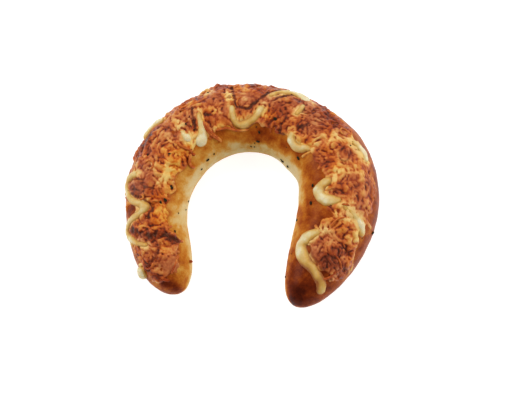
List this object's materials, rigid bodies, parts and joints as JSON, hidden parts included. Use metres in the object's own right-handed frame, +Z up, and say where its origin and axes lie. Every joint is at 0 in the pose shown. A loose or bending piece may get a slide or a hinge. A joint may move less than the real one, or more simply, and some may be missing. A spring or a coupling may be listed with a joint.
{
  "type": "cheese croissant",
  "caption": "Horseshoe-shaped yeast-dough cheese croissant: smooth baked crust, browned craggy cheese on its back with piped cream cheese, loose shreds and herb flecks.",
  "frame": {"origin": "middle of the bounding box, on the flat base that the roll lies on", "axes": "+Z up from the base, +Y towards the arch and away from the two tips, +X towards the thicker leg"},
  "size_m": [0.1513, 0.1398, 0.0401],
  "materials": {
    "crust": "satin",
    "cheese": "satin",
    "cream": "satin",
    "herb": "matte"
  },
  "bodies": {
    "root": {"cheese_croissant": "crust"}
  },
  "joints": []
}
